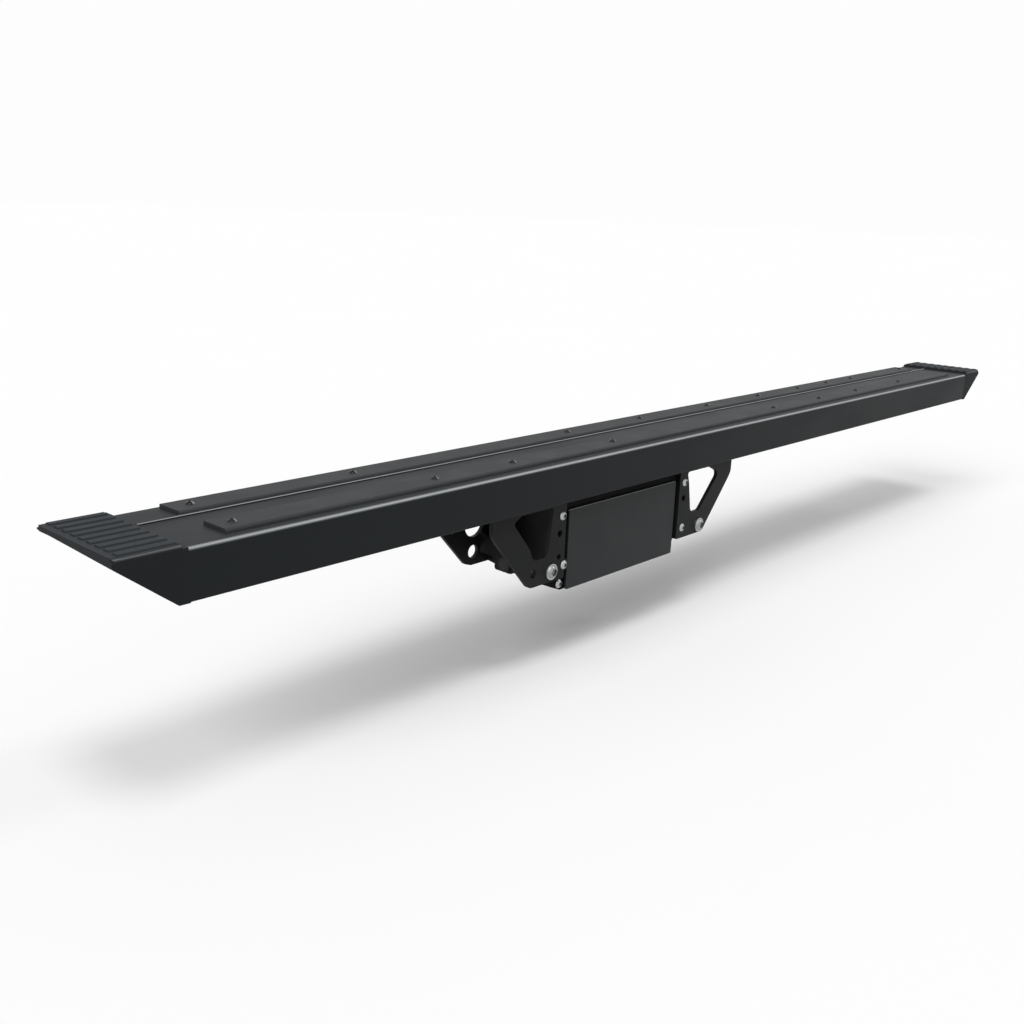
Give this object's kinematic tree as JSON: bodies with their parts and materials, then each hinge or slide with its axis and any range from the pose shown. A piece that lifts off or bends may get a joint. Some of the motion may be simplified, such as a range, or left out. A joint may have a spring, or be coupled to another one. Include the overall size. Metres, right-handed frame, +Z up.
{
  "type": "power running board",
  "caption": "Electric running board: long extruded step with tread strips and mitred end caps, lowered on parallel swing arms by one sealed gear drive.",
  "frame": {"origin": "on the mating face of the mount plate, midway between the two upper vehicle bolts, step stowed", "axes": "+X along the vehicle and the deck, +Y inboard to the vehicle, +Z up"},
  "size_m": [2.16, 0.15, 0.2003],
  "materials": {
    "deck_coat": "satin black powder coat on extruded aluminium",
    "tread_rubber": "fine grained matte",
    "cap_plastic": "grained",
    "bracket_coat": "satin black",
    "case_coat": "cast, satin black",
    "panel_coat": "satin black sheet",
    "bright_screw": "zinc plated",
    "black_screw": "black oxide",
    "arm_steel": "satin black steel",
    "pin_steel": "ground",
    "gear_steel": "machined and oiled",
    "motor_steel": "black can",
    "bush_bronze": "sintered bronze",
    "seal_rubber": "matte",
    "gland_plastic": "satin"
  },
  "bodies": {
    "vehicle_mount": {"mount_plate": "bracket_coat", "left_hinge_bracket": "bracket_coat", "right_hinge_bracket": "bracket_coat", "lower_hinge_pins": "arm_steel", "lower_follower_pins": "pin_steel", "hinge_pin_nuts": "black_screw"},
    "drive_arms": {"left_drive_arm": "arm_steel", "right_drive_arm": "arm_steel", "drive_arm_bushes": "bush_bronze", "drive_shaft": "pin_steel", "sector_gear": "gear_steel", "arm_end_bolts": "black_screw"},
    "follower_arms": {"left_follower_arm": "arm_steel", "right_follower_arm": "arm_steel", "follower_bushes": "bush_bronze"},
    "step": {"deck": "deck_coat", "front_tread_strip": "tread_rubber", "rear_tread_strip": "tread_rubber", "tread_strip_screws": "black_screw", "left_end_cap": "cap_plastic", "right_end_cap": "cap_plastic", "end_cap_screws": "black_screw", "left_bracket_plate": "bracket_coat", "right_bracket_plate": "bracket_coat", "bracket_plate_bolts": "bright_screw", "bracket_nut_bars": "black_screw", "left_pivot_ears": "bracket_coat", "right_pivot_ears": "bracket_coat", "pivot_ear_bolts": "black_screw", "ear_nut_bars": "black_screw", "drive_case": "case_coat", "front_panel": "panel_coat", "panel_gasket": "seal_rubber", "case_screws": "bright_screw", "stop_bolts": "bright_screw", "stop_bolt_washers": "bright_screw", "stop_posts": "arm_steel", "stop_pads": "seal_rubber", "gear_motor": "motor_steel", "shaft_bushes": "bush_bronze", "shaft_seals": "seal_rubber", "upper_follower_pins": "pin_steel", "cord_gland": "gland_plastic"},
    "pinion": {"drive_pinion": "gear_steel"}
  },
  "joints": [
    {"name": "swing_out", "type": "hinge", "parent": "vehicle_mount", "child": "drive_arms", "pos_m": [0, -0.059, -0.05], "axis": [1, 0, 0], "range_deg": [0, 125]},
    {"name": "step_level", "type": "hinge", "parent": "drive_arms", "child": "step", "pos_m": [0, -0.04598, 0.02386], "axis": [1, 0, 0], "range_deg": [-125, 0]},
    {"name": "follower_swing", "type": "hinge", "parent": "vehicle_mount", "child": "follower_arms", "pos_m": [0, -0.03221, -0.01509], "axis": [1, 0, 0], "range_deg": [0, 125]},
    {"name": "pinion_turn", "type": "hinge", "parent": "step", "child": "pinion", "pos_m": [0, -0.04598, -0.01814], "axis": [1, 0, 0], "range_deg": [-312.5, 0]}
  ],
  "couplings": [
    {"joint": "step_level", "follows": "swing_out", "ratio": -1},
    {"joint": "follower_swing", "follows": "swing_out", "ratio": 1},
    {"joint": "pinion_turn", "follows": "swing_out", "ratio": -2.5}
  ]
}
